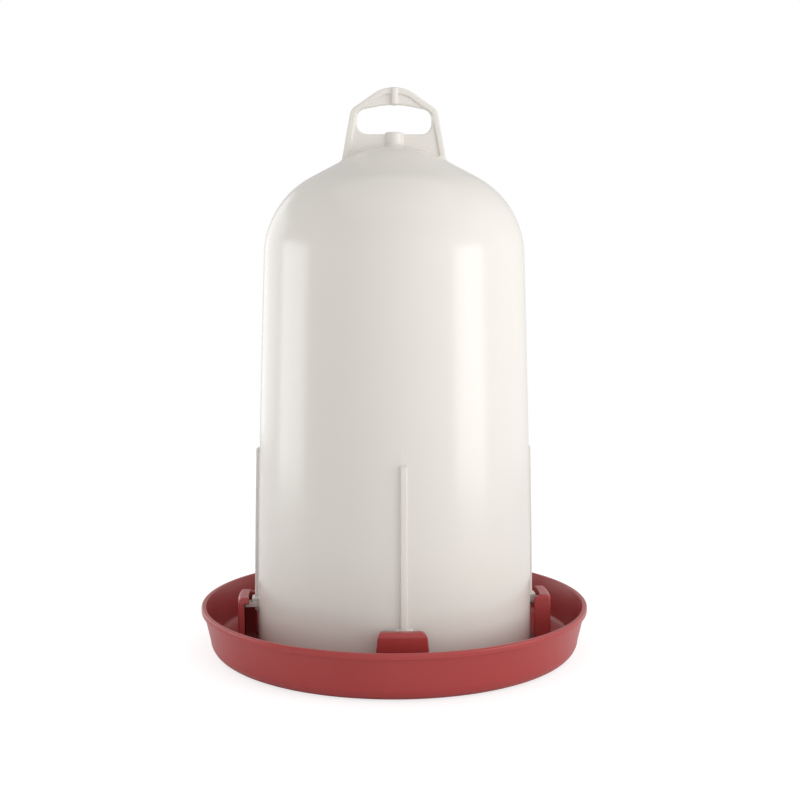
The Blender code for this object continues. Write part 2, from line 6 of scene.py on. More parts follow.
from math import atan2, cos, degrees, pi, radians, sin, tan

import bmesh
import bpy
import numpy as np
from mathutils import Matrix, Vector


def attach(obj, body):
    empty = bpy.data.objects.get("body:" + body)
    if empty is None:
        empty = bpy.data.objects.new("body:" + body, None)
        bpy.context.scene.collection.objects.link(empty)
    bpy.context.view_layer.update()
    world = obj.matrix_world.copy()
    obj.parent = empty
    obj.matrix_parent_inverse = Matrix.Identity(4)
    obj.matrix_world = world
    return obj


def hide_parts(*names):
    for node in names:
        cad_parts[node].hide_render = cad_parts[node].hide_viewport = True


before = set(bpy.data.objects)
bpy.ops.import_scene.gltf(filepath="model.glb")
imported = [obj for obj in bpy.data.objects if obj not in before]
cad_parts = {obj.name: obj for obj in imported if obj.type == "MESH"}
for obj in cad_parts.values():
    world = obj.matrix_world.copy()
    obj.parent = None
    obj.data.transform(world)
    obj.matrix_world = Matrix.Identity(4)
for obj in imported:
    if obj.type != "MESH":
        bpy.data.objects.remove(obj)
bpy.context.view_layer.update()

# Dimensions of the part --------------------------------------------------------------------------
RIM_RADIUS = 0.175
PAN_HEIGHT = 0.043
LIP_WIDTH = 0.0022
LIP_DEPTH = 0.005
PAN_WALL = 0.003
FLOOR_UNDERSIDE = 0.0025
FLOOR_TOP = 0.0055
BEND_HEIGHT = 0.013
BEND_RADIUS = 0.167
FOOT_OUTER = 0.153
FOOT_INNER = 0.142
PLATEAU_TOP = 0.030
PLATEAU_RADIUS = 0.1172
PLATEAU_THICKNESS = 0.003
GROOVE = (0.0965, 0.1035, 0.0014)
REST_RADIUS = 0.129

HOOK_OUTER = 0.1422
HOOK_INNER = 0.1275
HOOK_TOP = 0.0504
HOOK_WALL_INNER = 0.137
HOOK_LIP_INNER = 0.1326
HOOK_LIP_UNDERSIDE = 0.0446
HOOK_CLOSED_END = (-11.3, -8.9)
HOOK_OPEN_END = (9.1, 7.4)
HOOK_END_WALL = 1.7
HOOK_CLOSED_CORNER = 0.0035
HOOK_OPEN_CORNER = 0.0055
END_WALL_DROP = 0.002
LUG_BOTTOM = 0.0393
LUG_TOP = 0.0479
LUG_BLOCK_RADIUS = 0.1298
TAB_RADIUS = 0.1362
TAB_TOP = 0.0431
LUG_WIDTH = 0.0135

BELL_FOOT_RADIUS = 0.1242
BELL_WALL = 0.0028
BELL_FOOT = 0.0083
BELL_TAPER = 0.0083
BELL_TAPER_POWER = 1.6
SHOULDER_HEIGHT = 0.355
SHOULDER_RADIUS = 0.079
CONE_SLOPE = 28.0
CAP_RADIUS = 0.085
RIB_BOTTOM = 0.036
RIB_TOP = 0.1846
NOTCH_TOP = 0.020
NOTCH_WIDTH = 0.016
GUIDE_FACE = 0.1132
GUIDE_BOTTOM = 0.032
GUIDE_TOP = 0.343

OVERALL_HEIGHT = 0.5033
HANDLE_WEB = 0.0044
HANDLE_BEAD = 0.0074
BEAD_WIDTH = 0.0050
HANDLE_HALF_WIDTHS = (0.0503, 0.0381, 0.0100)
HANDLE_HEIGHTS = (0.427, 0.4837, OVERALL_HEIGHT)
HANDLE_CORNERS = (0.010, 0.031)
GRIP_HALF_WIDTH = 0.033
GRIP_HEIGHTS = (0.4629, 0.4835, 0.490)
GRIP_CORNERS = (0.009, 0.080)
BOSS_RADIUS = 0.0078
BOSS_TOP = 0.4645
CREST_WIDTH = 0.0056
CREST_DEPTH = 0.0120
SCREW_CIRCLE = 0.070
SCREW_RADIUS = 0.002
SCREW_TIP = 0.0425
SCREW_HOLE_RADIUS = 0.0024
GAP = 0.0003

TANK_FLOOR = 0.033
TANK_FLOOR_THICKNESS = 0.0026
TANK_FOOT_RADIUS = 0.1075
TANK_MOUTH_RADIUS = 0.1098
TANK_MOUTH_HEIGHT = 0.348
TANK_WALL = 0.0025
TANK_BEAD_RADIUS = 0.1112
TANK_BEAD_HEIGHT = 0.005
TANK_BOSS_RADIUS = 0.0056
TANK_BOSS_TOP = 0.047
OUTLET_HEIGHT = 0.043
OUTLET_RADIUS = 0.0045
CATCH_BOTTOM = 0.0546
CATCH_TOP = 0.0610
CATCH_RADIUS = 0.1102
CATCH_EDGE = 0.0015
CATCH_WIDTH = 0.012
RING_TOP = 0.0540

QUARTERS = (0, 90, 180, 270)
DIAGONALS = (45, 135, 225, 315)

CAMERA_PLACE = (-0.0754, -1.1977, 0.3484)
CAMERA_AZIMUTH = -3.85
CAMERA_DOWN = 5.8
CAMERA_LENS = 60.1
BRIGHT_SIDE = 58
FLOOR_RADIUS = 1.3


# Outlines ----------------------------------------------------------------------------------------
def arc(centre, radius, start, end, steps):
    """Points along an arc of a circle, from one angle to another, in degrees."""
    turns = [radians(start + (end - start) * k / steps) for k in range(steps + 1)]
    return [(centre[0] + radius * cos(t), centre[1] + radius * sin(t)) for t in turns]


def rounded(corners, closed=True, steps=6):
    """An outline of (x, y, radius) corners, with each corner of radius above 0 made an arc."""
    outline = []
    for k, (x, y, radius) in enumerate(corners):
        if radius == 0 or (not closed and k in (0, len(corners) - 1)):
            outline.append((x, y))
            continue
        here = Vector((x, y))
        back = (Vector(corners[k - 1][:2]) - here).normalized()
        ahead = (Vector(corners[(k + 1) % len(corners)][:2]) - here).normalized()
        half = back.angle(ahead) / 2
        centre = here + (back + ahead).normalized() * radius / sin(half)
        first = here + back * radius / tan(half) - centre
        last = here + ahead * radius / tan(half) - centre
        start = atan2(first.y, first.x)
        turn = (atan2(last.y, last.x) - start + pi) % (2 * pi) - pi
        outline += arc(centre, radius, degrees(start), degrees(start + turn), steps)
    return outline


def bell_radius(height):
    """Outer radius of the bell's wall below its shoulder."""
    return BELL_FOOT_RADIUS - BELL_TAPER * (height / SHOULDER_HEIGHT) ** BELL_TAPER_POWER


SHOULDER = (bell_radius(SHOULDER_HEIGHT) - SHOULDER_RADIUS, SHOULDER_HEIGHT)
CONE_END = arc(SHOULDER, SHOULDER_RADIUS, 90 - CONE_SLOPE, 90, 1)[0]
CAP_EDGE = CAP_RADIUS * sin(radians(CONE_SLOPE))
CAP_CENTRE = CONE_END[1] + (CONE_END[0] - CAP_EDGE) * tan(radians(CONE_SLOPE)) - CAP_RADIUS * cos(
    radians(CONE_SLOPE)
)


def dome(inset, steps):
    """The bell's dome from shoulder to top, inset from its outer face."""
    side = arc(SHOULDER, SHOULDER_RADIUS - inset, 0, 90 - CONE_SLOPE, steps)
    cap = arc((0.0, CAP_CENTRE), CAP_RADIUS - inset, 90 - CONE_SLOPE, 90, steps // 2)
    return side + cap[:-1] + [(0.0, cap[-1][1])]


# Meshes ------------------------------------------------------------------------------------------
def mesh_object(name, points, faces, sharp=35):
    """A smooth-shaded object of these points and faces, with its faces pointing out."""
    mesh = bpy.data.meshes.new(name)
    mesh.from_pydata([tuple(p) for p in points], [], [tuple(int(i) for i in face) for face in faces])
    bm = bmesh.new()
    bm.from_mesh(mesh)
    bmesh.ops.delete(bm, geom=[v for v in bm.verts if not v.link_faces], context="VERTS")
    bmesh.ops.remove_doubles(bm, verts=bm.verts, dist=1e-7)
    bmesh.ops.recalc_face_normals(bm, faces=bm.faces)
    bm.to_mesh(mesh)
    bm.free()
    mesh.shade_smooth()
    mesh.set_sharp_from_angle(angle=radians(sharp))
    obj = bpy.data.objects.new(name, mesh)
    bpy.context.scene.collection.objects.link(obj)
    return obj


def turned(name, outline, steps=240, sharp=35):
    """A solid turned about Z from (radius, height) points. It is closed by the axis where it meets it."""
    turns = np.arange(steps) * 2 * pi / steps
    points = [(r * cos(t), r * sin(t), z) for t in turns for r, z in outline]
    count = len(outline)
    closed = min(r for r, _ in outline) > 0
    faces = []
    for k in range(steps):
        near, far = k * count, (k + 1) % steps * count
        for j in range(count if closed else count - 1):
            following = (j + 1) % count
            faces.append((near + j, near + following, far + following, far + j))
    return mesh_object(name, points, faces, sharp)


def smooth_min(a, b, reach):
    """Union of two fields, with a fillet where they meet."""
    blend = np.maximum(reach - np.abs(a - b), 0.0) / reach
    return np.minimum(a, b) - blend * blend * reach / 4


def smooth_max(a, b, reach):
    """Intersection of two fields, with a round edge where they meet."""
    return -smooth_min(-a, -b, reach)


def outline_field(x, y, outline):
    """Signed distance of points from a closed outline, negative inside."""
    nearest = np.full(x.shape, np.inf)
    inside = np.zeros(x.shape, bool)
    for (ax, ay), (bx, by) in zip(outline, outline[1:] + outline[:1]):
        ex, ey = bx - ax, by - ay
        along = np.clip(((x - ax) * ex + (y - ay) * ey) / (ex * ex + ey * ey + 1e-18), 0, 1)
        nearest = np.minimum(nearest, (x - ax - along * ex) ** 2 + (y - ay - along * ey) ** 2)
        if ay != by:
            crosses = (y < ay) != (y < by)
            inside ^= crosses & (x < ex * (y - ay) / ey + ax)
    return np.where(inside, -1.0, 1.0) * np.sqrt(nearest)


def skin(name, field, low, high, step, sharp=60):
    """The closed surface where a field of points is 0, as a mesh of quads of about one step."""
    axes = [np.arange(a, b + step, step) for a, b in zip(low, high)]
    grid = np.stack(np.meshgrid(*axes, indexing="ij"), -1)
    inside = (field(grid.reshape(-1, 3)) < 0).reshape(grid.shape[:3])
    total = np.zeros([n - 1 for n in inside.shape], int)
    for i in (0, 1):
        for j in (0, 1):
            for k in (0, 1):
                total += inside[i : i + total.shape[0], j : j + total.shape[1], k : k + total.shape[2]]
    mixed = (total > 0) & (total < 8)
    index = np.full(mixed.shape, -1)
    index[mixed] = np.arange(mixed.sum())
    points = np.array(low) + (np.argwhere(mixed) + 0.5) * step
    faces = []
    for axis in range(3):
        a, b = [(1, 2), (2, 0), (0, 1)][axis]
        first = inside.take(range(inside.shape[axis] - 1), axis)
        second = inside.take(range(1, inside.shape[axis]), axis)
        cells = np.argwhere(first != second)
        cells = cells[(cells[:, a] > 0) & (cells[:, b] > 0)]
        cells = cells[(cells[:, a] < mixed.shape[a]) & (cells[:, b] < mixed.shape[b])]
        corners = []
        for da, db in ((0, 0), (-1, 0), (-1, -1), (0, -1)):
            moved = cells.copy()
            moved[:, a] += da
            moved[:, b] += db
            corners.append(index[tuple(moved.T)])
        faces.append(np.stack(corners, 1))
    faces = np.concatenate(faces)
    edges = np.concatenate([faces[:, [k, (k + 1) % 4]] for k in range(4)])
    degree = sum(np.bincount(edges[:, end], minlength=len(points)) for end in (0, 1))
    for relax in (0.6, 0.6, 0.5, 0.4, 0.0, 0.0):
        points = on_surface(points, field, step)
        if relax:
            mean = np.zeros_like(points)
            for k in range(3):
                mean[:, k] = np.bincount(edges[:, 0], points[edges[:, 1], k], len(points))
                mean[:, k] += np.bincount(edges[:, 1], points[edges[:, 0], k], len(points))
            points += relax * (mean / degree[:, None] - points)
    return mesh_object(name, on_surface(points, field, step), faces, sharp)


def on_surface(points, field, step):
    """Points moved on to a field's surface along its slope."""
    small = 0.00004
    value = field(points)
    slope = np.stack(
        [(field(points + d) - field(points - d)) / (2 * small) for d in np.eye(3) * small], 1
    )
    size = np.maximum((slope * slope).sum(1), 0.05)
    move = np.clip(value / size, -step / 2, step / 2)
    return points - slope * move[:, None]


def rod(radius, start, end, angle):
    """A round bar between two points, turned about Z."""
    axis = Vector(end) - Vector(start)
    place = Matrix.Rotation(radians(angle), 4, "Z") @ Matrix.Translation((Vector(start) + Vector(end)) / 2)
    bm = bmesh.new()
    bmesh.ops.create_cone(
        bm, cap_ends=True, segments=48, radius1=radius, radius2=radius, depth=axis.length,
        matrix=place @ axis.to_track_quat("Z", "Y").to_matrix().to_4x4(),
    )
    mesh = bpy.data.meshes.new("rod")
    bm.to_mesh(mesh)
    bm.free()
    obj = bpy.data.objects.new("rod", mesh)
    bpy.context.scene.collection.objects.link(obj)
    return obj


def drill(body, radius, start, end, angle):
    """Cuts a round hole through a body."""
    cutter = rod(radius, start, end, angle)
    change = body.modifiers.new("hole", "BOOLEAN")
    change.operation = "DIFFERENCE"
    change.solver = "EXACT"
    change.object = cutter
    cut = bpy.data.meshes.new_from_object(body.evaluated_get(bpy.context.evaluated_depsgraph_get()))
    body.modifiers.clear()
    body.data = cut
    body.data.set_sharp_from_angle(angle=radians(40))
    bpy.data.objects.remove(cutter)


def copies(obj, angles):
    """One object of several turned copies of a mesh."""
    bm = bmesh.new()
    for angle in angles:
        turned_mesh = obj.data.copy()
        turned_mesh.transform(Matrix.Rotation(radians(angle), 4, "Z"))
        bm.from_mesh(turned_mesh)
        bpy.data.meshes.remove(turned_mesh)
    bm.to_mesh(obj.data)
    bm.free()
    return obj


# Bell --------------------------------------------------------------------------------------------
RIB_PROFILE = (
    (0.0, 0.0031),
    (0.0019, 0.0031),
    (0.0023, 0.00302),
    (0.00255, 0.0028),
    (0.00268, 0.0024),
    (0.00274, 0.0017),
    (0.0028, 0.0009),
    (0.0029, 0.00045),
    (0.0031, 0.0002),
    (0.0034, 0.00005),
    (0.0038, 0.0),
)
RIB_ENDS = (
    (RIB_BOTTOM - 0.001, 0.0),
    (RIB_BOTTOM, 1.0),
    (RIB_TOP - 0.0022, 1.0),
    (RIB_TOP - 0.0012, 0.93),
    (RIB_TOP - 0.0004, 0.7),
    (RIB_TOP, 0.4),
    (RIB_TOP + 0.0005, 0.12),
    (RIB_TOP + 0.0012, 0.0),
)
GUIDE_PROFILE = ((0.0, 1.0), (0.0012, 1.0), (0.0017, 0.96), (0.002, 0.85), (0.0022, 0.1), (0.0028, 0.0))
GUIDE_ENDS = ((GUIDE_BOTTOM - 0.0004, 0.0), (GUIDE_BOTTOM, 1.0), (GUIDE_TOP, 1.0), (GUIDE_TOP + 0.001, 0.0))
FOOT_ROUNDING = ((0.0, 0.0011), (0.0003, 0.0004), (0.0011, 0.0))


def bell_shell():
    """The bell's wall and dome as one shell, with its four outer ribs, inner guides and foot notches."""
    fine = [degrees(side * s / BELL_FOOT_RADIUS) for s, _ in RIB_PROFILE for side in (-1, 1)]
    inner_fine = [degrees(side * s / GUIDE_FACE) for s, _ in GUIDE_PROFILE for side in (-1, 1)]
    notch = degrees(NOTCH_WIDTH / 2 / BELL_FOOT_RADIUS)
    turns = []
    for quarter, diagonal in zip(QUARTERS, DIAGONALS):
        turns += [quarter + t for t in fine]
        turns += [diagonal + t for t in inner_fine + [-notch, notch]]
    clear = [1.5 * k for k in range(240)]
    turns += [t for t in clear if min(abs((t - u + 180) % 360 - 180) for u in turns) > 0.3]
    turns = np.array(sorted({round(t % 360, 5) for t in turns}))

    rows = [BELL_FOOT + z for z, _ in FOOT_ROUNDING] + [NOTCH_TOP]
    rows += [z for z, _ in RIB_ENDS] + [z for z, _ in GUIDE_ENDS]
    rows += [start + 0.015 * k for start in (0.05, 0.2) for k in range(9)] + [0.332]
    rows = np.array(sorted(set(rows)))
    outer_dome, inner_dome = dome(0.0, 28), dome(BELL_WALL, 28)

    def off(centre_angles):
        return np.min([np.abs((turns - a + 180) % 360 - 180) for a in centre_angles], 0)

    rib_s = np.radians(off(QUARTERS)) * BELL_FOOT_RADIUS
    guide_s = np.radians(off(DIAGONALS)) * GUIDE_FACE
    rib = np.interp(rib_s, *zip(*RIB_PROFILE))
    guide = np.interp(guide_s, *zip(*GUIDE_PROFILE))
    across = np.cos(np.radians(turns)), np.sin(np.radians(turns))

    points, outer, inner = [], [], []
    for layer, shape, is_outer in ((outer, outer_dome, True), (inner, inner_dome, False)):
        for z in rows:
            foot = np.interp(z - BELL_FOOT, *zip(*FOOT_ROUNDING))
            if is_outer:
                radius = bell_radius(z) - foot + rib * np.interp(z, *zip(*RIB_ENDS), left=0, right=0)
            else:
                wall = bell_radius(z) - BELL_WALL + foot
                reach = (GUIDE_FACE - wall) * guide
                radius = wall + reach * np.interp(z, *zip(*GUIDE_ENDS), left=0, right=0)
            layer.append(len(points) + np.arange(len(turns)))
            points += list(zip(radius * across[0], radius * across[1], np.full(len(turns), z)))
        for radius, z in shape:
            layer.append(len(points) + np.arange(len(turns)))
            points += list(zip(radius * across[0], radius * across[1], np.full(len(turns), z)))

    middle = (turns + (np.roll(turns, -1) - turns) % 360 / 2) % 360
    in_notch = np.min([np.abs((middle - a + 180) % 360 - 180) for a in DIAGONALS], 0) < notch
    notch_rows = int(np.sum(rows < NOTCH_TOP - 1e-6))
    count = len(turns)
    faces = []
    for row in range(len(outer) - 1):
        gone = in_notch if row < notch_rows else np.zeros(count, bool)
        for k in range(count):
            n = (k + 1) % count
            if gone[k]:
                continue
            faces.append((outer[row][k], outer[row][n], outer[row + 1][n], outer[row + 1][k]))
            faces.append((inner[row][n], inner[row][k], inner[row + 1][k], inner[row + 1][n]))
            if row == 0:
                faces.append((outer[0][k], inner[0][k], inner[0][n], outer[0][n]))
            if gone[k - 1]:
                faces.append((outer[row][k], outer[row + 1][k], inner[row + 1][k], inner[row][k]))
            if gone[n]:
                faces.append((outer[row][n], inner[row][n], inner[row + 1][n], outer[row + 1][n]))
    over, under = outer[notch_rows], inner[notch_rows]
    for k in np.flatnonzero(in_notch):
        n = (k + 1) % count
        faces.append((over[k], under[k], under[n], over[n]))
    return mesh_object("bell_shell", points, faces, sharp=50)


def dome_field(x, y, z):
    """Distance from the outside of the bell's dome."""
    r = np.hypot(x, y)
    slope = radians(CONE_SLOPE)
    cap = np.hypot(r, z - CAP_CENTRE) - CAP_RADIUS
    shoulder = np.hypot(r - SHOULDER[0], z - SHOULDER[1]) - SHOULDER_RADIUS
    cone = (r - CONE_END[0]) * sin(slope) + (z - CONE_END[1]) * cos(slope)
    on_cap = np.arctan2(r, z - CAP_CENTRE) < slope
    on_shoulder = np.arctan2(z - SHOULDER[1], r - SHOULDER[0]) < pi / 2 - slope
    return np.where(on_cap, cap, np.where(on_shoulder, shoulder, cone))


def handle():
    """The handle with its thick border, grip hole, boss, crest and the fillet at its root."""
    outer, shoulder, top = HANDLE_HALF_WIDTHS
    low, shoulder_z, top_z = HANDLE_HEIGHTS
    side = [(outer, low - 0.01, 0), (shoulder, shoulder_z, HANDLE_CORNERS[0])]
    side += [(top, top_z, HANDLE_CORNERS[1])]
    outline = rounded(side + [(-x, z, radius) for x, z, radius in reversed(side)], steps=8)
    end, crown = GRIP_CORNERS
    half = GRIP_HALF_WIDTH
    grip = [(half, GRIP_HEIGHTS[0], end), (half, GRIP_HEIGHTS[1], end), (0, GRIP_HEIGHTS[2], crown)]
    grip += [(-half, GRIP_HEIGHTS[1], end), (-half, GRIP_HEIGHTS[0], end)]
    hole = rounded(grip, steps=8)
    crest_middle = (GRIP_HEIGHTS[1] + top_z) / 2
    crest_half = (top_z - GRIP_HEIGHTS[1]) / 2
    root = 0.0024

    def field(p):
        x, y, z = p.T
        edge = outline_field(x, z, outline)
        web = smooth_max(edge, np.abs(y) - HANDLE_WEB / 2, 0.001)
        ring = np.abs(edge + BEAD_WIDTH / 2) - BEAD_WIDTH / 2
        bead = smooth_max(ring, np.abs(y) - HANDLE_BEAD / 2, 0.0012)
        plate = smooth_min(web, bead, 0.0016)
        plate = smooth_max(plate, -outline_field(x, z, hole), 0.0016)
        boss = smooth_max(np.hypot(x, y) - BOSS_RADIUS, z - BOSS_TOP, 0.0015)
        crest = smooth_max(np.abs(x) - CREST_WIDTH / 2, np.abs(y) - CREST_DEPTH / 2, 0.0026)
        crest = smooth_max(crest, np.abs(z - crest_middle) - crest_half, 0.0016)
        crest = smooth_max(crest, -outline_field(x, z, hole), 0.0012)
        body = smooth_min(smooth_min(plate, boss, 0.0014), crest, 0.001)
        outside = dome_field(x, y, z)
        joined = smooth_min(body, outside, root)
        return np.maximum(np.maximum(joined, -outside - 0.0012), body - root * 0.97)

    reach, depth = outer + 0.009, 0.0155
    return skin("bell_handle", field, (-reach, -depth, 0.412), (reach, depth, top_z + 0.002), 0.0007)


def lugs():
    """The four lugs of the bell, each with a tab that passes under a hook's lip."""
    root = 0.0016

    def field(p):
        x, y, z = p.T
        r = np.hypot(x, y)
        s = np.abs(np.arctan2(y, x)) * LUG_BLOCK_RADIUS - LUG_WIDTH / 2
        block = smooth_max(smooth_max(r - LUG_BLOCK_RADIUS, s, 0.001), z - LUG_TOP, 0.0012)
        tab = smooth_max(smooth_max(r - TAB_RADIUS, s, 0.001), z - TAB_TOP, 0.001)
        solid = smooth_max(smooth_min(block, tab, 0.0012), LUG_BOTTOM - z, 0.0008)
        wall = r - bell_radius(z)
        joined = smooth_min(solid, wall, root)
        return np.maximum(np.maximum(joined, -wall - 0.0012), solid - root * 0.97)

    half = LUG_WIDTH / 2 + 0.004
    low = (BELL_FOOT_RADIUS - 0.003, -half, LUG_BOTTOM - 0.004)
    lug = skin("bell_lugs", field, low, (TAB_RADIUS + 0.002, half, LUG_TOP + 0.004), 0.0005)
    return copies(lug, QUARTERS)


# Pan ---------------------------------------------------------------------------------------------
def quarter_bend(radius, floor, steps):
    """The bend between the pan's floor and its wall, from the floor outwards."""
    turns = [pi / 2 * k / steps for k in range(steps + 1)]
    reach = radius - FOOT_OUTER
    rise = BEND_HEIGHT - floor
    return [(FOOT_OUTER + reach * sin(turn), BEND_HEIGHT - rise * cos(turn)) for turn in turns]


def pan():
    """The drinking pan, turned, with its screw holes."""
    lip_bottom = PAN_HEIGHT - LIP_DEPTH
    wall_top = RIM_RADIUS - LIP_WIDTH
    slope = (wall_top - BEND_RADIUS) / (lip_bottom - BEND_HEIGHT)
    inner_top = wall_top + slope * LIP_DEPTH - PAN_WALL
    recess = PLATEAU_RADIUS - PLATEAU_THICKNESS
    recess_top = PLATEAU_TOP - PLATEAU_THICKNESS
    inner_groove, outer_groove, depth = GROOVE
    groove = PLATEAU_TOP - depth
    corners = [(0.0, PLATEAU_TOP, 0), (inner_groove, PLATEAU_TOP, 0), (inner_groove, groove, 0)]
    corners += [(outer_groove, groove, 0), (outer_groove, PLATEAU_TOP, 0)]
    corners += [(PLATEAU_RADIUS, PLATEAU_TOP, 0.0012), (PLATEAU_RADIUS, FLOOR_TOP, 0.002)]
    corners += [(r, z, 0) for r, z in quarter_bend(BEND_RADIUS - PAN_WALL, FLOOR_TOP, 12)]
    corners += [(inner_top, PAN_HEIGHT, 0.0012), (RIM_RADIUS, PAN_HEIGHT, 0.0014)]
    corners += [(RIM_RADIUS, lip_bottom, 0.0007), (wall_top, lip_bottom, 0.0006)]
    corners += [(r, z, 0) for r, z in reversed(quarter_bend(BEND_RADIUS, 0.0, 12))]
    corners += [(FOOT_INNER, 0.0, 0.0008), (FOOT_INNER - FLOOR_UNDERSIDE, FLOOR_UNDERSIDE, 0.0008)]
    corners += [(recess, FLOOR_UNDERSIDE, 0.001), (recess - 0.001, recess_top, 0.001), (0.0, recess_top, 0)]
    body = turned("pan_body", rounded(corners, closed=False, steps=5), 288, sharp=40)
    below, above = (SCREW_CIRCLE, 0, PLATEAU_TOP - 0.012), (SCREW_CIRCLE, 0, PLATEAU_TOP + 0.008)
    for angle in DIAGONALS:
        drill(body, SCREW_HOLE_RADIUS, below, above, angle)
    return body


def hooks():
    """The four bayonet hooks of the pan, each closed at its clockwise end, with a fillet at the floor."""
    base = FLOOR_TOP - 0.003
    closed_low, closed_top = [radians(turn) * HOOK_OUTER for turn in HOOK_CLOSED_END]
    open_low, open_top = [radians(turn) * HOOK_OUTER for turn in HOOK_OPEN_END]
    side = [(closed_low, base, 0), (open_low, base, 0)]
    side += [(open_top, HOOK_TOP, HOOK_OPEN_CORNER), (closed_top, HOOK_TOP, HOOK_CLOSED_CORNER)]
    front = rounded(side, steps=8)
    section = [(HOOK_INNER, base, 0), (HOOK_OUTER + 0.0006, base, 0), (HOOK_OUTER, HOOK_TOP, 0.004)]
    section += [(HOOK_INNER, HOOK_TOP, 0.0008)]
    across = rounded(section, steps=8)
    slot_start = radians(HOOK_CLOSED_END[1] + HOOK_END_WALL) * HOOK_OUTER
    root = 0.004

    def field(p):
        x, y, z = p.T
        r = np.hypot(x, y)
        s = np.arctan2(y, x) * HOOK_OUTER
        body = smooth_max(outline_field(s, z, front), outline_field(r, z, across), 0.0016)
        below = np.maximum(r - HOOK_WALL_INNER, z - HOOK_LIP_UNDERSIDE)
        slot = np.minimum(below, r - HOOK_LIP_INNER)
        end_wall = smooth_max(body, s - slot_start, 0.001)
        end_wall = smooth_max(end_wall, z - HOOK_TOP + END_WALL_DROP, 0.0014)
        body = np.minimum(end_wall, smooth_max(body, -slot, 0.001))
        floor = z - FLOOR_TOP
        joined = smooth_min(body, floor, root)
        return np.maximum(np.maximum(joined, -floor - 0.0015), body - root * 0.97)

    low = (HOOK_INNER - 0.008, -0.036, FLOOR_TOP - 0.0035)
    hook = skin("pan_hooks", field, low, (HOOK_OUTER + 0.006, 0.032, HOOK_TOP + 0.002), 0.0006)
    return copies(hook, QUARTERS)


def rests():
    """The low ribs in the trough that the bell's foot stands on."""
    inner = PLATEAU_RADIUS - 0.0008

    def field(p):
        x, y, z = p.T
        r = np.hypot(x, y)
        top = smooth_max(np.abs(y) - 0.0015, z - (BELL_FOOT - 0.0003), 0.0008)
        solid = smooth_max(top, r - REST_RADIUS, 0.001)
        return np.maximum(np.maximum(solid, inner - r), FLOOR_TOP - 0.001 - z)

    low = (inner - 0.001, -0.0025, FLOOR_TOP - 0.002)
    rest = skin("pan_rests", field, low, (REST_RADIUS + 0.001, 0.0025, BELL_FOOT + 0.001), 0.0004)
    return copies(rest, [22.5 + 45 * k for k in range(8)])


# Tank --------------------------------------------------------------------------------------------
def between(start, end, steps=8):
    """Corners along a straight run, without its two ends."""
    shares = [k / steps for k in range(1, steps)]
    return [(*Vector(start).lerp(Vector(end), share), 0) for share in shares]


def tank_shell():
    """The tank's floor and wall with the bead round its mouth, and the outlet."""
    inner_foot = TANK_FOOT_RADIUS - TANK_WALL
    bead_bottom = TANK_MOUTH_HEIGHT - TANK_BEAD_HEIGHT
    floor_top = TANK_FLOOR + TANK_FLOOR_THICKNESS
    inner_mouth = TANK_MOUTH_RADIUS - TANK_WALL
    corners = [(0.0, TANK_FLOOR, 0), (TANK_FOOT_RADIUS, TANK_FLOOR, 0.002), (TANK_FOOT_RADIUS, RING_TOP, 0)]
    corners += between((TANK_FOOT_RADIUS, RING_TOP), (TANK_MOUTH_RADIUS, bead_bottom))
    corners += [(TANK_MOUTH_RADIUS, bead_bottom, 0.0006), (TANK_BEAD_RADIUS, bead_bottom, 0.0006)]
    corners += [(TANK_BEAD_RADIUS, TANK_MOUTH_HEIGHT, 0.0012), (inner_mouth, TANK_MOUTH_HEIGHT, 0.0012)]
    corners += between((inner_mouth, TANK_MOUTH_HEIGHT), (inner_foot, floor_top + 0.004))
    corners += [(inner_foot, floor_top, 0.003), (0.0, floor_top, 0)]
    shell = turned("tank_shell", rounded(corners, closed=False, steps=5), 240, sharp=40)
    start = (inner_foot - 0.002, 0, OUTLET_HEIGHT)
    drill(shell, OUTLET_RADIUS, start, (TANK_FOOT_RADIUS + 0.002, 0, OUTLET_HEIGHT), 0)
    return shell


def tank_bosses():
    """The four bosses that the tank's screws turn into, seen inside the tank and under it."""
    foot, hole_top = PLATEAU_TOP + GAP, SCREW_TIP + 2 * GAP
    hole = SCREW_RADIUS + GAP
    outline = [(0.0, hole_top, 0), (hole, hole_top, 0), (hole, foot, 0), (TANK_BOSS_RADIUS, foot, 0.0004)]
    outline += [(TANK_BOSS_RADIUS, TANK_BOSS_TOP, 0.001), (0.0, TANK_BOSS_TOP, 0)]
    boss = turned("tank_bosses", rounded(outline, closed=False, steps=4), 48)
    boss.data.transform(Matrix.Translation((SCREW_CIRCLE, 0, 0)))
    return copies(boss, DIAGONALS)


def tank_catches():
    """The four low wedges that hold the shut-off ring down."""
    half = CATCH_WIDTH / 2

    def field(p):
        x, y, z = p.T
        r = np.hypot(x, y)
        slope = (CATCH_TOP - CATCH_BOTTOM - CATCH_EDGE) / (CATCH_RADIUS - TANK_FOOT_RADIUS)
        ramp = (z - CATCH_BOTTOM - CATCH_EDGE - (CATCH_RADIUS - r) * slope) / np.hypot(1, slope)
        wedge = smooth_max(smooth_max(r - CATCH_RADIUS, ramp, 0.0006), CATCH_BOTTOM - z, 0.0006)
        wedge = smooth_max(wedge, np.abs(y) - half, 0.0008)
        return np.maximum(wedge, TANK_FOOT_RADIUS - 0.001 - r)

    low = (TANK_FOOT_RADIUS - 0.002, -half - 0.001, CATCH_BOTTOM - 0.001)
    high = (CATCH_RADIUS + 0.001, half + 0.001, CATCH_TOP + 0.002)
    catch = skin("tank_catches", field, low, high, 0.0004)
    return copies(catch, [quarter + 22.5 for quarter in QUARTERS])


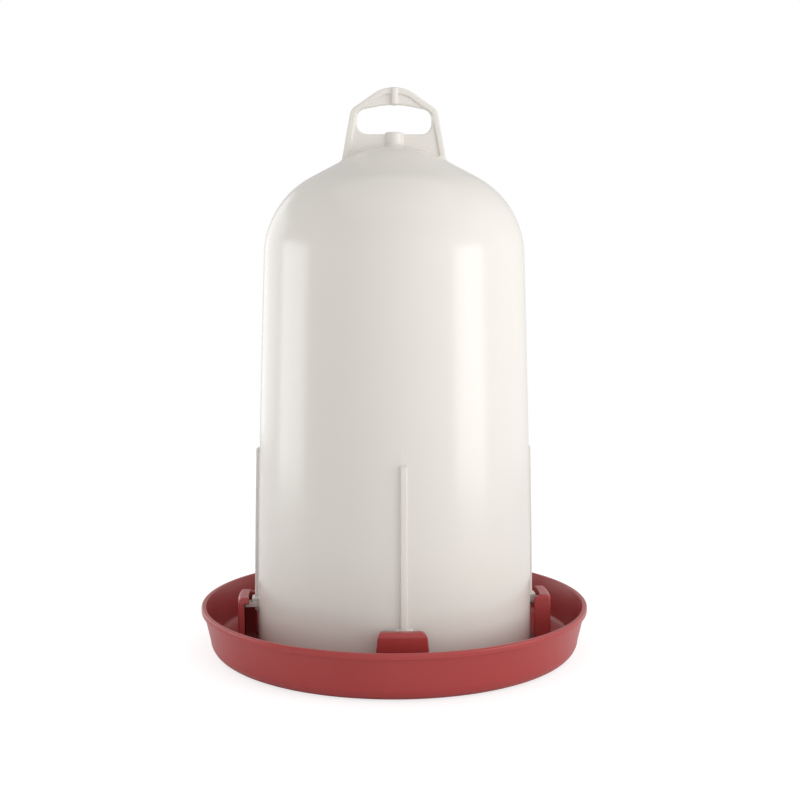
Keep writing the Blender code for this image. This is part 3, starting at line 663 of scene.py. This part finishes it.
# Materials ---------------------------------------------------------------------------------------
def plastic(
    name, colour, shade, roughness, grain, wave=0.00012, metallic=0.0, specular=0.5, stretch=(1, 1, 1)
):
    """Moulded plastic: faint cloudiness of colour and gloss, a fine moulded grain and slow waviness."""
    material = bpy.data.materials.new(name)
    material.use_nodes = True
    tree = material.node_tree
    shader = tree.nodes["Principled BSDF"]
    shader.inputs["Metallic"].default_value = metallic
    shader.inputs["Specular IOR Level"].default_value = specular
    place = tree.nodes.new("ShaderNodeTexCoord")
    fit = tree.nodes.new("ShaderNodeMapping")
    fit.inputs["Scale"].default_value = stretch
    tree.links.new(place.outputs["Object"], fit.inputs["Vector"])

    def noise(scale, detail, rough=0.5):
        node = tree.nodes.new("ShaderNodeTexNoise")
        node.inputs["Scale"].default_value = scale
        node.inputs["Detail"].default_value = detail
        node.inputs["Roughness"].default_value = rough
        tree.links.new(fit.outputs["Vector"], node.inputs["Vector"])
        return node

    cloud = noise(14.0, 4.0)
    ramp = tree.nodes.new("ShaderNodeValToRGB")
    ramp.color_ramp.elements[0].position = 0.3
    ramp.color_ramp.elements[0].color = (*shade, 1)
    ramp.color_ramp.elements[1].position = 0.7
    ramp.color_ramp.elements[1].color = (*colour, 1)
    tree.links.new(cloud.outputs["Fac"], ramp.inputs["Fac"])
    tree.links.new(ramp.outputs["Color"], shader.inputs["Base Color"])

    smear = noise(55.0, 6.0, 0.6)
    span = tree.nodes.new("ShaderNodeMapRange")
    span.inputs["From Min"].default_value = 0.3
    span.inputs["From Max"].default_value = 0.7
    span.inputs["To Min"].default_value = roughness - 0.015
    span.inputs["To Max"].default_value = roughness + 0.015
    tree.links.new(smear.outputs["Fac"], span.inputs["Value"])
    tree.links.new(span.outputs["Result"], shader.inputs["Roughness"])

    slow = noise(16.0, 1.0)
    wavy = tree.nodes.new("ShaderNodeBump")
    wavy.inputs["Distance"].default_value = wave
    tree.links.new(slow.outputs["Fac"], wavy.inputs["Height"])
    fine = noise(520.0, 2.0)
    peel = tree.nodes.new("ShaderNodeBump")
    peel.inputs["Distance"].default_value = grain
    tree.links.new(fine.outputs["Fac"], peel.inputs["Height"])
    tree.links.new(wavy.outputs["Normal"], peel.inputs["Normal"])
    tree.links.new(peel.outputs["Normal"], shader.inputs["Normal"])
    return material


def wear(obj, material):
    """Gives an object one material."""
    obj.data.materials.clear()
    obj.data.materials.append(material)
    return obj


white = plastic("bell_plastic", (0.665, 0.635, 0.59), (0.655, 0.625, 0.58), 0.22, 0.000002, 0.00005)
red = plastic(
    "pan_plastic", (0.36, 0.045, 0.044), (0.345, 0.041, 0.040), 0.3, 0.000003, 0.00005, specular=0.38
)
ring_red = plastic("ring_plastic", (0.40, 0.045, 0.042), (0.35, 0.038, 0.036), 0.42, 0.000008)
natural = plastic("tank_plastic", (0.61, 0.615, 0.60), (0.59, 0.595, 0.58), 0.38, 0.000006, 0.00008)
rubber = plastic("black_rubber", (0.032, 0.032, 0.034), (0.022, 0.022, 0.024), 0.68, 0.00002)
steel = plastic(
    "screw_steel", (0.60, 0.60, 0.585), (0.5, 0.5, 0.49), 0.32, 0.00001, 0.00004, 1.0, stretch=(1, 1, 6)
)

# Pieces ------------------------------------------------------------------------------------------
bell_pieces = [bell_shell(), handle(), lugs()]
for piece in bell_pieces:
    wear(piece, white)
    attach(piece, "bell")
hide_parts("outer_bell")

pan_pieces = [pan(), hooks(), rests()]
for piece in pan_pieces:
    wear(piece, red)
    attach(piece, "base")
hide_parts("drinking_pan")

tank_pieces = [tank_shell(), tank_bosses(), tank_catches()]
for piece in tank_pieces:
    wear(piece, natural)
    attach(piece, "base")
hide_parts("inner_tank")

for node, material in (("valve_ring", ring_red), ("valve_pad", rubber), ("tank_gasket", rubber)):
    wear(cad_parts[node], material)
for number in range(1, 5):
    wear(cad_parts[f"tank_screw_{number}"], steel)
    wear(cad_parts[f"tank_washer_{number}"], steel)


# Stage -------------------------------------------------------------------------------------------
def area_light(name, azimuth, height, distance, size, power, aim=0.25):
    """A softbox that faces the drinker's axis. Azimuth 0 is the front, and positive is to the right."""
    light = bpy.data.lights.new(name, "AREA")
    light.shape = "RECTANGLE"
    light.size, light.size_y = size
    light.energy = power
    obj = bpy.data.objects.new(name, light)
    turn = radians(azimuth)
    obj.location = (distance * sin(turn), -distance * cos(turn), height)
    obj.rotation_euler = (Vector((0, 0, aim)) - obj.location).to_track_quat("-Z", "Y").to_euler()
    bpy.context.scene.collection.objects.link(obj)


def surroundings():
    """White seen by the camera, and a soft room: brightest low down and to the right of the front."""
    world = bpy.data.worlds.new("world")
    bpy.context.scene.world = world
    world.use_nodes = True
    tree = world.node_tree
    place = tree.nodes.new("ShaderNodeTexCoord")
    toward = tree.nodes.new("ShaderNodeVectorMath")
    toward.operation = "DOT_PRODUCT"
    toward.inputs[1].default_value = (sin(radians(BRIGHT_SIDE)), -cos(radians(BRIGHT_SIDE)), 0.0)
    tree.links.new(place.outputs["Generated"], toward.inputs[0])
    side = tree.nodes.new("ShaderNodeMapRange")
    side.interpolation_type = "SMOOTHSTEP"
    for name, value in (("From Min", -0.4), ("From Max", 1.0), ("To Min", 0.72), ("To Max", 1.62)):
        side.inputs[name].default_value = value
    tree.links.new(toward.outputs["Value"], side.inputs["Value"])
    split = tree.nodes.new("ShaderNodeSeparateXYZ")
    tree.links.new(place.outputs["Generated"], split.inputs["Vector"])
    height = tree.nodes.new("ShaderNodeMapRange")
    for name, value in (("From Min", 0.0), ("From Max", 1.0), ("To Min", 1.0), ("To Max", 0.48)):
        height.inputs[name].default_value = value
    tree.links.new(split.outputs["Z"], height.inputs["Value"])
    product = tree.nodes.new("ShaderNodeMath")
    product.operation = "MULTIPLY"
    tree.links.new(side.outputs["Result"], product.inputs[0])
    tree.links.new(height.outputs["Result"], product.inputs[1])
    room = tree.nodes["Background"]
    room.inputs["Color"].default_value = (1, 1, 1, 1)
    tree.links.new(product.outputs["Value"], room.inputs["Strength"])
    seen = tree.nodes.new("ShaderNodeBackground")
    seen.inputs["Color"].default_value = (1, 1, 1, 1)
    path = tree.nodes.new("ShaderNodeLightPath")
    mix = tree.nodes.new("ShaderNodeMixShader")
    tree.links.new(path.outputs["Is Camera Ray"], mix.inputs["Fac"])
    tree.links.new(room.outputs["Background"], mix.inputs[1])
    tree.links.new(seen.outputs["Background"], mix.inputs[2])
    tree.links.new(mix.outputs["Shader"], tree.nodes["World Output"].inputs["Surface"])


def stage():
    """Floor, lights, world and camera."""
    floor_mesh = bpy.data.meshes.new("floor")
    bm = bmesh.new()
    bmesh.ops.create_circle(bm, cap_ends=True, segments=128, radius=FLOOR_RADIUS)
    bm.to_mesh(floor_mesh)
    bm.free()
    floor = bpy.data.objects.new("floor", floor_mesh)
    bpy.context.scene.collection.objects.link(floor)
    paper = bpy.data.materials.new("floor_paper")
    paper.use_nodes = True
    tree = paper.node_tree
    shader = tree.nodes["Principled BSDF"]
    shader.inputs["Roughness"].default_value = 0.9
    shader.inputs["Specular IOR Level"].default_value = 0.0
    shader.inputs["Emission Color"].default_value = (1, 1, 1, 1)
    path = tree.nodes.new("ShaderNodeLightPath")
    for socket, unseen, seen in (("Base Color", 0.9, 0.4), ("Emission Strength", 0.0, 0.74)):
        level = tree.nodes.new("ShaderNodeMapRange")
        level.inputs["To Min"].default_value = unseen
        level.inputs["To Max"].default_value = seen
        tree.links.new(path.outputs["Is Camera Ray"], level.inputs["Value"])
        tree.links.new(level.outputs["Result"], shader.inputs[socket])
    floor_mesh.materials.append(paper)

    area_light("right_box", 61, 0.24, 1.5, (0.76, 0.84), 6.6, aim=0.22)
    area_light("left_box", -97, 0.26, 1.5, (0.86, 0.8), 6.6, aim=0.22)
    area_light("back_box", -138, 0.5, 1.5, (1.1, 1.0), 3.5, aim=0.3)
    area_light("top_box", 0, 2.2, 0.3, (2.4, 2.4), 9.5)
    surroundings()

    camera_data = bpy.data.cameras.new("camera")
    camera_data.sensor_width = 36
    camera_data.lens = CAMERA_LENS
    camera = bpy.data.objects.new("camera", camera_data)
    turn = Matrix.Rotation(radians(CAMERA_AZIMUTH), 4, "Z")
    tilt = Matrix.Rotation(radians(90 - CAMERA_DOWN), 4, "X")
    camera.matrix_world = Matrix.Translation(CAMERA_PLACE) @ turn @ tilt
    bpy.context.scene.collection.objects.link(camera)
    bpy.context.scene.camera = camera
    bpy.context.scene.view_settings.view_transform = "Standard"


stage()
